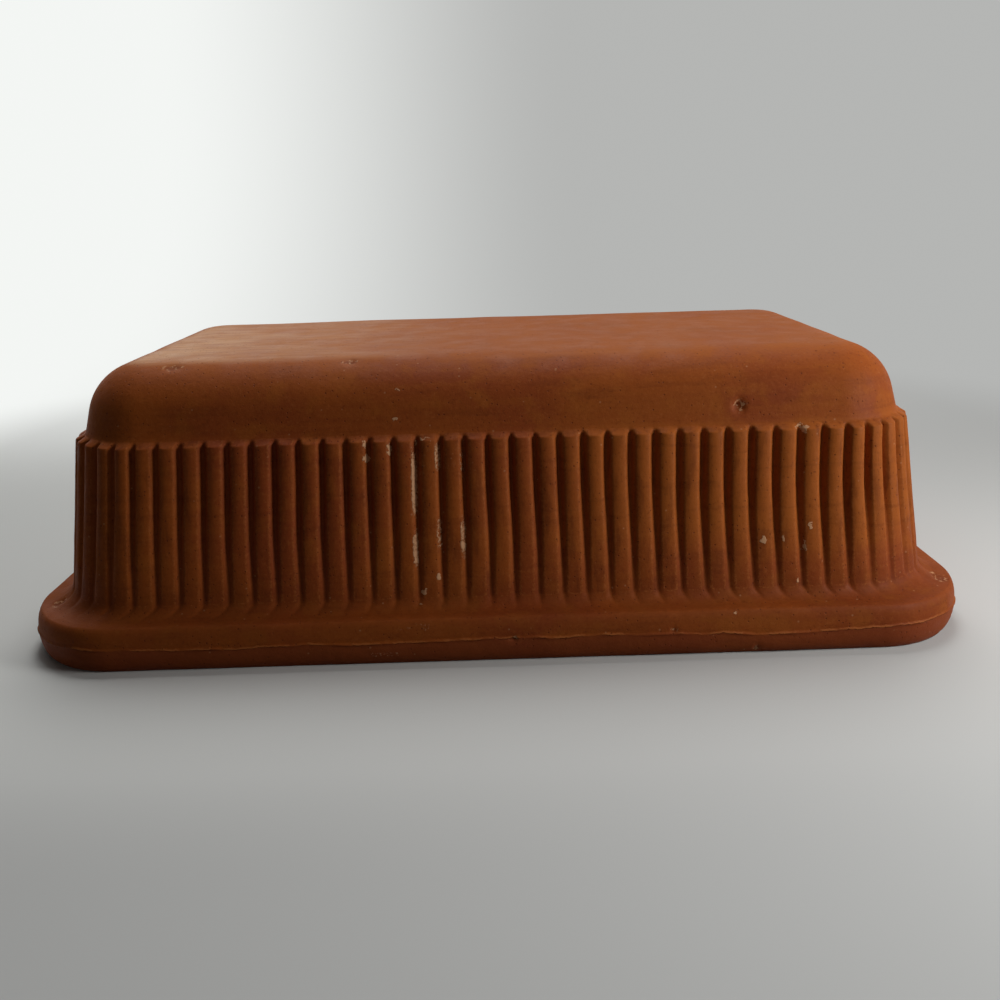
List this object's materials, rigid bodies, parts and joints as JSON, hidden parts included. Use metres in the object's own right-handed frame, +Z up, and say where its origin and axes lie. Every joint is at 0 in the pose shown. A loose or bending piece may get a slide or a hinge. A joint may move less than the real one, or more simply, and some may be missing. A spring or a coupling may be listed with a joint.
{
  "type": "terracotta loaf pan",
  "caption": "Unglazed terracotta loaf pan, shown mouth down: rounded rectangular cavity, reeded outer wall that runs out into a thick rim flange, plain rounded shoulder and flat base.",
  "frame": {"origin": "middle of the plane that the rim rests on, with the pan mouth down as in the picture", "axes": "+Z up from the rim to the base, +X along the loaf, -Y towards the long side that the picture shows"},
  "size_m": [0.27, 0.153, 0.0795],
  "materials": {
    "terracotta": "unglazed fired clay, matt, with fine pores, scuffs and pale lime in some grooves"
  },
  "bodies": {
    "root": {"pan_body": "terracotta"}
  },
  "joints": []
}
